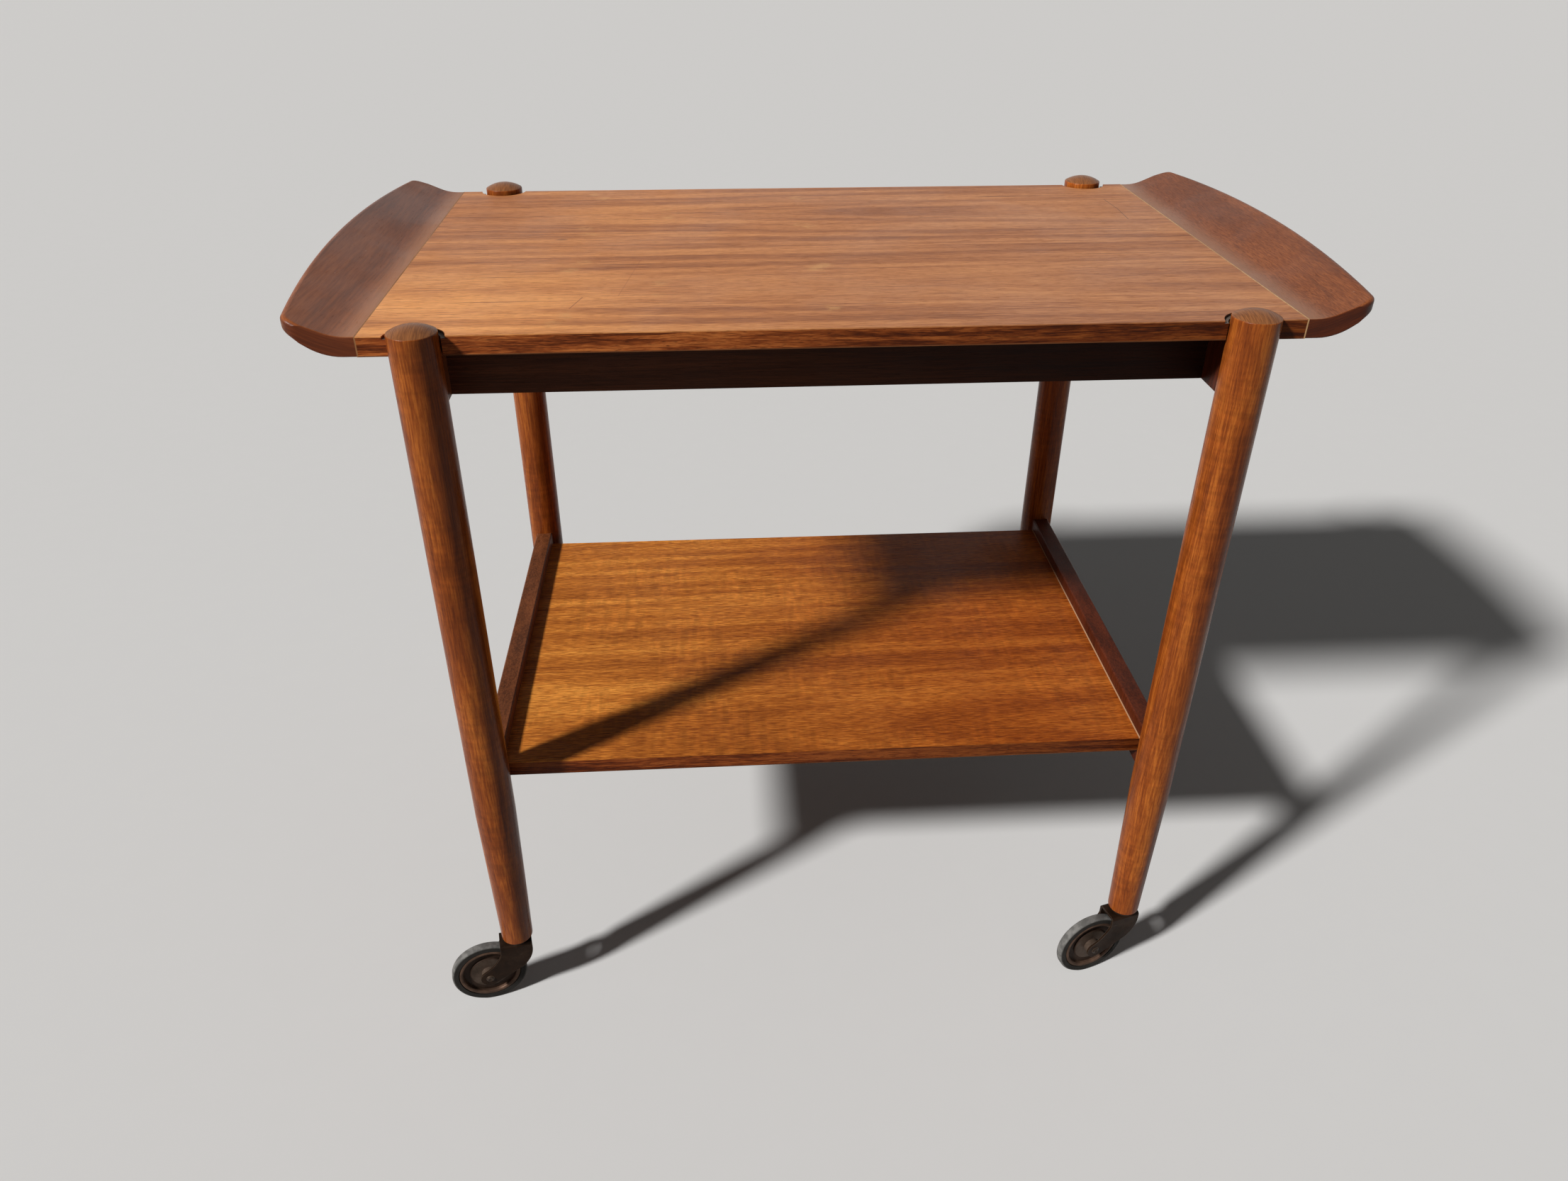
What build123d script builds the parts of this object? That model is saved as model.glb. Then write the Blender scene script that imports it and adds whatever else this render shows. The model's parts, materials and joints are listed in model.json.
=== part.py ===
from build123d import *
import math
import os

os.makedirs("parts", exist_ok=True)

# Serving trolley: a veneered top with a swept handle board at each end, round legs, rails,
# a lower shelf and four swivel casters. Millimetres. The origin is on the floor under the
# middle of the top, X runs along the length, Y runs to the rear and Z is up.

# Top board
top_height = 648.0
panel_length = 649.0
panel_depth = 417.0
panel_thickness = 14.0
veneer_thickness = 0.8
lipping_width = 8.0
inlay_width = 1.0
notch_gap = 1.0
recess_gap = 4.0
recess_depth = 2.0

# Handle boards: flat at the seam, then swept up to a lip whose outer edge is bowed
handle_reach = 60.4
handle_flat = 5.0
handle_top_radius = 41.0
handle_under_flat = 9.0
handle_under_radius = 40.0
handle_bow = 13.8
handle_corner_radius = 12.0
lip_rise = 20.0
lip_thickness = 6.5
handle_round = 2.9
handle_arris = 1.0
nose_skin = 0.05
nose_flare = 22.0

# Legs
leg_diameter = 34.0
leg_setback = 37.9
leg_standout = 2.2
leg_rim_rise = 3.2
leg_dome = 5.0
leg_rim_round = 1.0
leg_base_diameter = 28.0
leg_base_round = 1.5
leg_taper_drop = 8.0

# Rails
rail_thickness = 17.0
upper_rail_height = 46.0
long_rail_setback = 46.0
lower_rail_height = 40.0
lower_rail_rise = 11.6
rail_arris = 1.2
scribe_gap = 0.1

# Shelf
shelf_height = 263.4
shelf_depth = 380.6
shelf_thickness = 14.0

# Dowels and screws
dowel_diameter = 8.0
dowel_gap = 0.1
dowel_end_gap = 0.5
dowel_chamfer = 0.8
leg_dowel_length = 36.0
leg_dowel_edge = 12.0
rail_dowel_depth = 11.0
rail_dowel_length = 34.0
thin_dowel_diameter = 6.0
handle_dowel_length = 30.0
handle_dowel_pitch = 110.0
shelf_dowel_depth = 10.0
shelf_dowel_length = 26.0
shelf_dowel_pitch = 120.0
screw_diameter = 4.0
screw_gap = 0.1
screw_cover = 4.0
screw_pocket_depth = 24.0
screw_pocket_gap = 0.5
screw_head_diameter = 8.0
screw_head_height = 2.6
screw_slot_width = 1.2
screw_slot_depth = 1.2
screw_point = 4.0
screw_tip_diameter = 1.0
screw_pitch_long = 180.0
screw_pitch_side = 200.0

# Casters
wheel_diameter = 68.5
tyre_width = 8.4
tyre_depth = 5.9
tyre_shoulder = 2.2
tyre_key_height = 1.4
tyre_key_width = 4.0
tyre_gap = 0.05
rim_inset = 0.1
rim_ring = 4.2
rim_round = 1.7
groove_width = 6.3
web_thickness = 2.0
disc_inset = 1.4
disc_round = 1.0
hub_diameter = 15.0
hub_side_gap = 0.3
axle_diameter = 6.0
axle_run_gap = 0.05
rivet_head_diameter = 7.4
rivet_head_height = 1.4
rivet_dimple_diameter = 4.0
rivet_dimple_depth = 0.9
fork_side_gap = 4.3
fork_crown_gap = 2.5
fork_sheet = 2.0
fork_bend = 3.0
fork_front = 12.0
fork_back = 17.0
fork_neck = 9.5
fork_brow = 7.0
fork_boss_radius = 8.4
fork_boss_back_angle = 125.0
fork_boss_front_angle = -61.0
fork_back_hollow = 2.4
fork_front_swell = 3.0
caster_trail = 30.3
left_caster_turn = 12.0
right_caster_turn = 16.0
stem_diameter = 9.5
stem_run_gap = 0.05
stem_length = 36.0
stem_chamfer = 1.0
stem_head_lip = 2.25
stem_head_height = 1.8
socket_wall = 1.1
socket_gap = 0.1
socket_end_gap = 2.0
socket_flange_lip = 6.1
socket_flange = 1.5
washer_lip = 5.75
washer_thickness = 3.2
washer_gap = 0.3

# A rounded edge takes up at most this share of the wall it is on
round_share = 0.45

# Places that follow from the sizes above
panel_half = panel_length / 2
depth_half = panel_depth / 2
seam_x = panel_half + inlay_width
panel_bottom = top_height - panel_thickness
core_thickness = panel_thickness - 2 * veneer_thickness
core_bottom = panel_bottom + veneer_thickness
core_depth = panel_depth - 2 * lipping_width

leg_radius = leg_diameter / 2
leg_x = panel_half - leg_setback
leg_y = depth_half + leg_standout
rim_z = top_height + leg_rim_rise
notch_radius = leg_radius + notch_gap
recess_radius = leg_radius + recess_gap
leg_spots = [(side * leg_x, end * leg_y) for side in (-1, 1) for end in (-1, 1)]

rail_inner_x = leg_x - rail_thickness / 2
upper_rail_bottom = panel_bottom - upper_rail_height
long_rail_y = depth_half - long_rail_setback - rail_thickness / 2
lower_rail_top = shelf_height + lower_rail_rise
lower_rail_bottom = lower_rail_top - lower_rail_height
taper_z = lower_rail_bottom - leg_taper_drop

shelf_bottom = shelf_height - shelf_thickness
shelf_core_thickness = shelf_thickness - 2 * veneer_thickness
shelf_core_depth = shelf_depth - 2 * lipping_width
shelf_length = 2 * rail_inner_x

wheel_radius = wheel_diameter / 2
rim_radius = wheel_radius - tyre_depth
rim_width = tyre_width - 2 * rim_inset
disc_width = rim_width - 2 * disc_inset
groove_out = rim_radius - rim_ring
groove_in = groove_out - groove_width
fork_width = tyre_width + 2 * (fork_side_gap + fork_sheet)
fork_top = wheel_diameter + fork_crown_gap
washer_top = fork_top + washer_thickness
leg_base_height = washer_top + washer_gap + socket_flange
hub_half = fork_width / 2 - fork_sheet - hub_side_gap
stem_radius = stem_diameter / 2
socket_bore = stem_radius + stem_run_gap
socket_radius = socket_bore + socket_wall
socket_flange_radius = socket_radius + socket_flange_lip
socket_depth = stem_length + socket_end_gap

# Round pegs, each given as its middle and the way it points
along_x = (0, 90, 0)
along_y = (90, 0, 0)
upper_rail_middle = (panel_bottom + upper_rail_bottom) / 2
lower_rail_middle = (lower_rail_top + lower_rail_bottom) / 2
upper_dowel_rise = upper_rail_height / 2 - leg_dowel_edge
lower_dowel_rise = lower_rail_height / 2 - leg_dowel_edge
leg_dowel_y = leg_y - leg_radius
rail_dowel_x = rail_inner_x + rail_dowel_depth - rail_dowel_length / 2
shelf_dowel_x = rail_inner_x + shelf_dowel_depth - shelf_dowel_length / 2
handle_dowel_x = panel_half + inlay_width / 2
panel_middle = panel_bottom + panel_thickness / 2
shelf_middle = shelf_bottom + shelf_thickness / 2

upper_leg_pegs = [
    Location((side * leg_x, end * leg_dowel_y, upper_rail_middle + lift * upper_dowel_rise), along_y)
    for side in (-1, 1)
    for end in (-1, 1)
    for lift in (-1, 1)
]
lower_leg_pegs = [
    Location((side * leg_x, end * leg_dowel_y, lower_rail_middle + lift * lower_dowel_rise), along_y)
    for side in (-1, 1)
    for end in (-1, 1)
    for lift in (-1, 1)
]
long_rail_pegs = [
    Location((side * rail_dowel_x, end * long_rail_y, upper_rail_middle + lift * upper_dowel_rise), along_x)
    for side in (-1, 1)
    for end in (-1, 1)
    for lift in (-1, 1)
]
shelf_pegs = [
    Location((side * shelf_dowel_x, row * shelf_dowel_pitch, shelf_middle), along_x)
    for side in (-1, 1)
    for row in (-1, 0, 1)
]
handle_pegs = [
    Location((side * handle_dowel_x, row * handle_dowel_pitch, panel_middle), along_x)
    for side in (-1, 1)
    for row in (-1.5, -0.5, 0.5, 1.5)
]
screw_spots = [
    (column * screw_pitch_long, end * long_rail_y) for column in (-1, 0, 1) for end in (-1, 1)
] + [(side * leg_x, row * screw_pitch_side / 2) for side in (-1, 1) for row in (-1, 1)]
screw_seat = upper_rail_bottom + screw_pocket_depth
screw_tip = top_height - screw_cover


def finish(piece, name):
    piece.part.label = name
    export_step(piece.part, f"parts/{name}.step")


def rounding(size, wall):
    return min(size, round_share * wall)


def bore_pegs(spots, diameter, length):
    with Locations(*spots):
        Cylinder(diameter / 2 + dowel_gap, length + 2 * dowel_end_gap, mode=Mode.SUBTRACT)


def cut_notches(bottom, height):
    with Locations(*[(x, y, bottom) for x, y in leg_spots]):
        Cylinder(
            notch_radius,
            height,
            align=(Align.CENTER, Align.CENTER, Align.MIN),
            mode=Mode.SUBTRACT,
        )


# Shallow recess in the top face around each notch
def sink_recesses():
    with Locations(*[(x, y, top_height) for x, y in leg_spots]):
        Cylinder(
            recess_radius,
            recess_depth,
            align=(Align.CENTER, Align.CENTER, Align.MAX),
            mode=Mode.SUBTRACT,
        )


def bore_screws(radius, bottom, top):
    with Locations(*[(x, y, bottom) for x, y in screw_spots]):
        Cylinder(
            radius,
            top - bottom,
            align=(Align.CENTER, Align.CENTER, Align.MIN),
            mode=Mode.SUBTRACT,
        )


# Top board: core, face and backing veneers, lippings and the pale inlay at each seam
with BuildPart() as top_core:
    with BuildSketch(Plane.XY.offset(core_bottom)):
        Rectangle(panel_length, core_depth)
    extrude(amount=core_thickness)
    cut_notches(core_bottom, core_thickness)
    sink_recesses()
    bore_pegs(handle_pegs, thin_dowel_diameter, handle_dowel_length)
    bore_screws(screw_diameter / 2 + screw_gap, panel_bottom, screw_tip + screw_gap)
finish(top_core, "top_core")

with BuildPart() as top_veneer:
    with BuildSketch(Plane.XY.offset(top_height - veneer_thickness)):
        Rectangle(panel_length, panel_depth)
    extrude(amount=veneer_thickness)
    cut_notches(panel_bottom, panel_thickness)
    sink_recesses()
finish(top_veneer, "top_veneer")

with BuildPart() as top_backing_veneer:
    with BuildSketch(Plane.XY.offset(panel_bottom)):
        Rectangle(panel_length, panel_depth)
    extrude(amount=veneer_thickness)
    cut_notches(panel_bottom, panel_thickness)
    bore_screws(screw_diameter / 2 + screw_gap, panel_bottom, screw_tip)
finish(top_backing_veneer, "top_backing_veneer")

for lipping_name, end in (("top_front_lipping", -1), ("top_rear_lipping", 1)):
    with BuildPart() as lipping:
        with BuildSketch(Plane.XY.offset(core_bottom)):
            with Locations((0, end * (depth_half - lipping_width / 2))):
                Rectangle(panel_length, lipping_width)
        extrude(amount=core_thickness)
        cut_notches(core_bottom, core_thickness)
        sink_recesses()
    finish(lipping, lipping_name)

for inlay_name, side in (("left_inlay", -1), ("right_inlay", 1)):
    with BuildPart() as inlay:
        with BuildSketch(Plane.XY.offset(panel_bottom)):
            with Locations((side * (panel_half + inlay_width / 2), 0)):
                Rectangle(inlay_width, panel_depth)
        extrude(amount=panel_thickness)
        bore_pegs(handle_pegs, thin_dowel_diameter, handle_dowel_length)
    finish(inlay, inlay_name)


# Angle through which an arc turns before its tangent runs straight to a point
def sweep_turn(run, rise, radius):
    reach = math.hypot(run, rise - radius)
    return math.atan2(rise - radius, run) + math.asin(radius / reach)


def arc_point(start_x, start_z, radius, angle):
    return (start_x + radius * math.sin(angle), start_z + radius * (1 - math.cos(angle)))


# Handle boards, made as a side profile cut to the bowed plan
tip_x = seam_x + handle_reach
tip_top = top_height + lip_rise
tip_under = tip_top - lip_thickness
top_start = seam_x + handle_flat
under_start = seam_x + handle_under_flat
bow_radius = (depth_half**2 + handle_bow**2) / (2 * handle_bow)
corner_y = depth_half - handle_corner_radius
bow_reach = math.sqrt((bow_radius - handle_corner_radius) ** 2 - corner_y**2)
corner_x = tip_x - bow_radius + bow_reach
corner_start = math.atan2(corner_y, bow_reach)
corner_stop = math.radians(90 - nose_flare)
top_turn = sweep_turn(tip_x - top_start, lip_rise, handle_top_radius)
under_turn = sweep_turn(tip_x - under_start, tip_under - panel_bottom, handle_under_radius)


def nose_point(end, angle):
    radius = handle_corner_radius - nose_skin
    return (corner_x + radius * math.cos(angle), end * (corner_y + radius * math.sin(angle)))


nose_end = nose_point(1, corner_stop)
nose_seam = nose_end[1] + (nose_end[0] - seam_x) * math.tan(math.radians(nose_flare))
nose_half = nose_seam + handle_corner_radius

# The crisp-ended board is shared with a flared one that has the lip's round nose
for handle_name, side in (("left_handle", -1), ("right_handle", 1)):
    side_view = Plane(origin=(0, 0, 0), x_dir=(side, 0, 0), z_dir=(0, -side, 0))
    plan_view = Plane(origin=(0, 0, panel_bottom), x_dir=(side, 0, 0), z_dir=(0, 0, 1))
    with BuildSketch(side_view) as board_view:
        with BuildLine():
            Line((seam_x, panel_bottom), (under_start, panel_bottom))
            ThreePointArc(
                (under_start, panel_bottom),
                arc_point(under_start, panel_bottom, handle_under_radius, under_turn / 2),
                arc_point(under_start, panel_bottom, handle_under_radius, under_turn),
            )
            Line(
                arc_point(under_start, panel_bottom, handle_under_radius, under_turn),
                (tip_x, tip_under),
            )
            Line((tip_x, tip_under), (tip_x, tip_top))
            Line((tip_x, tip_top), arc_point(top_start, top_height, handle_top_radius, top_turn))
            ThreePointArc(
                arc_point(top_start, top_height, handle_top_radius, top_turn),
                arc_point(top_start, top_height, handle_top_radius, top_turn / 2),
                (top_start, top_height),
            )
            Line((top_start, top_height), (seam_x, top_height))
            Line((seam_x, top_height), (seam_x, panel_bottom))
        make_face()
    with BuildPart() as nose:
        extrude(board_view.sketch, amount=nose_half, both=True)
        with BuildSketch(plan_view):
            with BuildLine():
                ThreePointArc(nose_point(-1, corner_start), (tip_x - nose_skin, 0), nose_point(1, corner_start))
                for end in (-1, 1):
                    ThreePointArc(
                        nose_point(end, corner_start),
                        nose_point(end, (corner_start + corner_stop) / 2),
                        nose_point(end, corner_stop),
                    )
                    Line(nose_point(end, corner_stop), (seam_x, end * nose_seam))
                Line((seam_x, -nose_seam), (seam_x, nose_seam))
            make_face()
        extrude(amount=tip_top - panel_bottom, mode=Mode.INTERSECT)
        fillet(nose.edges().filter_by(GeomType.ELLIPSE), rounding(handle_round, lip_thickness))
    with BuildPart() as handle:
        extrude(board_view.sketch, amount=depth_half, both=True)
        with BuildSketch(plan_view):
            with BuildLine():
                Line((seam_x, -depth_half), (tip_x - handle_bow, -depth_half))
                ThreePointArc(
                    (tip_x - handle_bow, -depth_half), (tip_x, 0), (tip_x - handle_bow, depth_half)
                )
                Line((tip_x - handle_bow, depth_half), (seam_x, depth_half))
                Line((seam_x, depth_half), (seam_x, -depth_half))
            plan_edge = make_face()
            fillet(plan_edge.vertices().group_by(Axis.X)[-1], handle_corner_radius)
        extrude(amount=tip_top - panel_bottom, mode=Mode.INTERSECT)
        fillet(handle.edges().filter_by(GeomType.ELLIPSE), rounding(handle_arris, lip_thickness))
        add(nose.part, mode=Mode.INTERSECT)
        bore_pegs(handle_pegs, thin_dowel_diameter, handle_dowel_length)
    finish(handle, handle_name)


# Legs: turned, with a domed top, a straight upper part and a tapered foot
leg_names = ["front_left", "rear_left", "front_right", "rear_right"]
for leg_name, (x, y) in zip(leg_names, leg_spots):
    with BuildPart() as leg:
        with BuildSketch(Plane(origin=(x, y, 0), x_dir=(1, 0, 0), z_dir=(0, -1, 0))):
            with BuildLine():
                Line((0, leg_base_height), (leg_base_diameter / 2, leg_base_height))
                Line((leg_base_diameter / 2, leg_base_height), (leg_radius, taper_z))
                Line((leg_radius, taper_z), (leg_radius, rim_z))
                RadiusArc(
                    (leg_radius, rim_z),
                    (0, rim_z + leg_dome),
                    -(leg_radius**2 + leg_dome**2) / (2 * leg_dome),
                )
                Line((0, rim_z + leg_dome), (0, leg_base_height))
            outline = make_face()
            fillet(
                outline.vertices().sort_by_distance((leg_radius, rim_z))[0],
                rounding(leg_rim_round, leg_dome),
            )
            fillet(
                outline.vertices().sort_by_distance((leg_base_diameter / 2, leg_base_height))[0],
                rounding(leg_base_round, leg_base_diameter / 2 - socket_radius),
            )
        revolve(axis=Axis((x, y, 0), (0, 0, 1)))
        bore_pegs(upper_leg_pegs, dowel_diameter, leg_dowel_length)
        bore_pegs(lower_leg_pegs, dowel_diameter, leg_dowel_length)
        with BuildSketch(Plane.XY.offset(leg_base_height)):
            with Locations((x, y)):
                Circle(socket_radius + socket_gap)
        extrude(amount=socket_depth, mode=Mode.SUBTRACT)
    finish(leg, f"{leg_name}_leg")


# Side rails run from leg to leg with ends scribed to the round of the legs
def side_rail(side, bottom, height, arris):
    with BuildPart() as rail:
        with BuildSketch(Plane.XY.offset(bottom)):
            with Locations((side * leg_x, 0)):
                Rectangle(rail_thickness, 2 * leg_y)
        extrude(amount=height)
        if arris:
            chamfer(rail.edges().filter_by(Axis.Y).group_by(Axis.Z)[-1], rounding(arris, rail_thickness))
        with BuildSketch(Plane.XY.offset(bottom)):
            with Locations(*leg_spots):
                Circle(leg_radius + scribe_gap)
        extrude(amount=height, mode=Mode.SUBTRACT)
        bore_pegs(upper_leg_pegs, dowel_diameter, leg_dowel_length)
        bore_pegs(lower_leg_pegs, dowel_diameter, leg_dowel_length)
        bore_pegs(long_rail_pegs, dowel_diameter, rail_dowel_length)
        bore_pegs(shelf_pegs, thin_dowel_diameter, shelf_dowel_length)
        bore_screws(screw_diameter / 2 + screw_gap, upper_rail_bottom, panel_bottom)
        bore_screws(screw_head_diameter / 2 + screw_pocket_gap, upper_rail_bottom, screw_seat)
    return rail


for rail_name, side in (("left", -1), ("right", 1)):
    finish(side_rail(side, upper_rail_bottom, upper_rail_height, 0), f"upper_{rail_name}_rail")
    finish(side_rail(side, lower_rail_bottom, lower_rail_height, rail_arris), f"lower_{rail_name}_rail")

# Long rails under the top, set back from its front and rear edges
for rail_name, end in (("upper_front_rail", -1), ("upper_rear_rail", 1)):
    with BuildPart() as long_rail:
        with BuildSketch(Plane.XY.offset(upper_rail_bottom)):
            with Locations((0, end * long_rail_y)):
                Rectangle(2 * rail_inner_x, rail_thickness)
        extrude(amount=upper_rail_height)
        bore_pegs(long_rail_pegs, dowel_diameter, rail_dowel_length)
        bore_screws(screw_diameter / 2 + screw_gap, upper_rail_bottom, panel_bottom)
        bore_screws(screw_head_diameter / 2 + screw_pocket_gap, upper_rail_bottom, screw_seat)
    finish(long_rail, rail_name)

# Shelf between the lower rails
with BuildPart() as shelf_core:
    with BuildSketch(Plane.XY.offset(shelf_bottom + veneer_thickness)):
        Rectangle(shelf_length, shelf_core_depth)
    extrude(amount=shelf_core_thickness)
    bore_pegs(shelf_pegs, thin_dowel_diameter, shelf_dowel_length)
finish(shelf_core, "shelf_core")

for veneer_name, level in (
    ("shelf_veneer", shelf_height - veneer_thickness),
    ("shelf_backing_veneer", shelf_bottom),
):
    with BuildPart() as shelf_skin:
        with BuildSketch(Plane.XY.offset(level)):
            Rectangle(shelf_length, shelf_depth)
        extrude(amount=veneer_thickness)
    finish(shelf_skin, veneer_name)

for lipping_name, end in (("shelf_front_lipping", -1), ("shelf_rear_lipping", 1)):
    with BuildPart() as shelf_lipping:
        with BuildSketch(Plane.XY.offset(shelf_bottom + veneer_thickness)):
            with Locations((0, end * (shelf_depth - lipping_width) / 2)):
                Rectangle(shelf_length, lipping_width)
        extrude(amount=shelf_core_thickness)
    finish(shelf_lipping, lipping_name)

# Dowels, a group for each joint
for peg_name, spots, diameter, length in (
    ("handle_dowels", handle_pegs, thin_dowel_diameter, handle_dowel_length),
    ("upper_leg_dowels", upper_leg_pegs, dowel_diameter, leg_dowel_length),
    ("lower_leg_dowels", lower_leg_pegs, dowel_diameter, leg_dowel_length),
    ("long_rail_dowels", long_rail_pegs, dowel_diameter, rail_dowel_length),
    ("shelf_dowels", shelf_pegs, thin_dowel_diameter, shelf_dowel_length),
):
    with BuildPart() as pegs:
        with Locations(*spots):
            Cylinder(diameter / 2, length)
        chamfer(pegs.edges().filter_by(GeomType.CIRCLE), rounding(dowel_chamfer, diameter))
    finish(pegs, peg_name)

# Slotted screws that hold the top down, driven up from pockets in the rails
with BuildPart() as top_screws:
    head_bottom = screw_seat - screw_head_height
    with Locations(*[(x, y, head_bottom) for x, y in screw_spots]):
        Cylinder(
            screw_head_diameter / 2,
            screw_head_height,
            align=(Align.CENTER, Align.CENTER, Align.MIN),
        )
    with Locations(*[(x, y, screw_seat) for x, y in screw_spots]):
        Cylinder(
            screw_diameter / 2,
            screw_tip - screw_point - screw_seat,
            align=(Align.CENTER, Align.CENTER, Align.MIN),
        )
    with Locations(*[(x, y, screw_tip - screw_point) for x, y in screw_spots]):
        Cone(
            screw_diameter / 2,
            screw_tip_diameter / 2,
            screw_point,
            align=(Align.CENTER, Align.CENTER, Align.MIN),
        )
    with BuildSketch(Plane.XY.offset(head_bottom)):
        with Locations(*screw_spots):
            Rectangle(screw_head_diameter, screw_slot_width)
    extrude(amount=screw_slot_depth, mode=Mode.SUBTRACT)
finish(top_screws, "top_screws")


# Casters: socket in the leg, then stem, washer, fork and axle that swivel, then the wheel
def polar(centre, radius, angle):
    return (
        centre[0] + radius * math.cos(math.radians(angle)),
        centre[1] + radius * math.sin(math.radians(angle)),
    )


# Middle of an arc between two points, bowed to the left of the way from the first to the second
def bowed_middle(first, second, bow):
    span = math.hypot(second[0] - first[0], second[1] - first[1])
    step = ((second[0] - first[0]) / span, (second[1] - first[1]) / span)
    return (
        (first[0] + second[0]) / 2 - bow * step[1],
        (first[1] + second[1]) / 2 + bow * step[0],
    )


axle_spot = (-caster_trail, wheel_radius)
boss_back = polar(axle_spot, fork_boss_radius, fork_boss_back_angle)
boss_front = polar(axle_spot, fork_boss_radius, fork_boss_front_angle)
brow_slope = math.tan(math.radians(90 + fork_boss_front_angle))
fork_knee = (0, boss_front[1] - boss_front[0] * brow_slope)
neck_back = (-fork_back, fork_top - fork_neck)
neck_front = (fork_front, fork_top - fork_brow)
fork_span = caster_trail + fork_boss_radius + fork_front

for leg_name, (x, y) in zip(leg_names, leg_spots):
    turn = math.radians(left_caster_turn if x < 0 else right_caster_turn) * (1 if y < 0 else -1)
    ahead = (math.cos(turn), math.sin(turn), 0)
    across = (-math.sin(turn), math.cos(turn), 0)
    side_view = Plane(origin=(x, y, 0), x_dir=ahead, z_dir=(math.sin(turn), -math.cos(turn), 0))
    end_view = Plane(origin=(x, y, 0), x_dir=across, z_dir=ahead)
    axle_point = (x - caster_trail * ahead[0], y - caster_trail * ahead[1], wheel_radius)
    axle_line = Axis(axle_point, across)
    axle_view = Plane(origin=axle_point, x_dir=across, z_dir=ahead)
    pivot_line = Axis((x, y, 0), (0, 0, 1))
    pivot_view = Plane(origin=(x, y, 0), x_dir=(1, 0, 0), z_dir=(0, -1, 0))

    with BuildPart() as socket:
        with BuildSketch(pivot_view):
            with BuildLine():
                Polyline(
                    (socket_bore, leg_base_height - socket_flange),
                    (socket_flange_radius, leg_base_height - socket_flange),
                    (socket_flange_radius, leg_base_height),
                    (socket_radius, leg_base_height),
                    (socket_radius, leg_base_height + socket_depth),
                    (socket_bore, leg_base_height + socket_depth),
                    close=True,
                )
            make_face()
        revolve(axis=pivot_line)
    finish(socket, f"{leg_name}_socket")

    with BuildPart() as washer:
        with BuildSketch(Plane.XY.offset(fork_top)):
            with Locations((x, y)):
                Circle(stem_radius + washer_lip)
                Circle(socket_bore, mode=Mode.SUBTRACT)
        extrude(amount=washer_thickness)
    finish(washer, f"{leg_name}_washer")

    with BuildPart() as stem:
        with BuildSketch(Plane.XY.offset(fork_top - fork_sheet - stem_head_height)):
            with Locations((x, y)):
                Circle(stem_radius + stem_head_lip)
        extrude(amount=stem_head_height)
        with BuildSketch(Plane.XY.offset(fork_top - fork_sheet)):
            with Locations((x, y)):
                Circle(stem_radius)
        extrude(amount=leg_base_height + stem_length - fork_top + fork_sheet)
        chamfer(stem.edges().group_by(Axis.Z)[-1], rounding(stem_chamfer, stem_diameter))
    finish(stem, f"{leg_name}_stem")

    with BuildPart() as fork:
        with BuildSketch(end_view):
            with Locations((0, fork_top / 2)):
                channel = Rectangle(fork_width, fork_top)
            fillet(channel.vertices().group_by(Axis.Y)[-1], rounding(fork_bend, fork_width))
            with Locations((0, (fork_top - fork_sheet) / 2)):
                Rectangle(fork_width - 2 * fork_sheet, fork_top - fork_sheet, mode=Mode.SUBTRACT)
        extrude(amount=fork_span, both=True)
        with BuildSketch(side_view):
            with BuildLine():
                Line((fork_front, fork_top), (-fork_back, fork_top))
                Line((-fork_back, fork_top), neck_back)
                ThreePointArc(neck_back, bowed_middle(neck_back, boss_back, fork_back_hollow), boss_back)
                Line(boss_back, boss_front)
                Line(boss_front, fork_knee)
                ThreePointArc(fork_knee, bowed_middle(fork_knee, neck_front, -fork_front_swell), neck_front)
                Line(neck_front, (fork_front, fork_top))
            make_face()
            with Locations(axle_spot):
                Circle(fork_boss_radius)
                Circle(axle_diameter / 2 + axle_run_gap, mode=Mode.SUBTRACT)
        extrude(amount=fork_width, both=True, mode=Mode.INTERSECT)
        with BuildSketch(Plane.XY.offset(fork_top - fork_sheet)):
            with Locations((x, y)):
                Circle(socket_bore)
        extrude(amount=fork_sheet, mode=Mode.SUBTRACT)
    finish(fork, f"{leg_name}_fork")

    with BuildPart() as axle:
        with BuildSketch(axle_view):
            with BuildLine():
                Polyline(
                    (-fork_width / 2 - rivet_head_height, 0),
                    (-fork_width / 2 - rivet_head_height, rivet_dimple_diameter / 2),
                    (-fork_width / 2 - rivet_head_height, rivet_head_diameter / 2 - rivet_head_height),
                    (-fork_width / 2, rivet_head_diameter / 2),
                    (-fork_width / 2, axle_diameter / 2),
                    (fork_width / 2, axle_diameter / 2),
                    (fork_width / 2, rivet_head_diameter / 2),
                    (fork_width / 2 + rivet_head_height, rivet_head_diameter / 2 - rivet_head_height),
                    (fork_width / 2 + rivet_head_height, rivet_dimple_diameter / 2),
                    (fork_width / 2 + rivet_head_height, 0),
                    close=True,
                )
            make_face()
        revolve(axis=axle_line)
        for face in (-1, 1):
            with BuildSketch(axle_view):
                with BuildLine():
                    Polyline(
                        (face * (fork_width / 2 + rivet_head_height), 0),
                        (face * (fork_width / 2 + rivet_head_height), rivet_dimple_diameter / 2),
                        (face * (fork_width / 2 + rivet_head_height - rivet_dimple_depth), 0),
                        close=True,
                    )
                make_face()
            revolve(axis=axle_line, mode=Mode.SUBTRACT)
    finish(axle, f"{leg_name}_axle")

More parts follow.
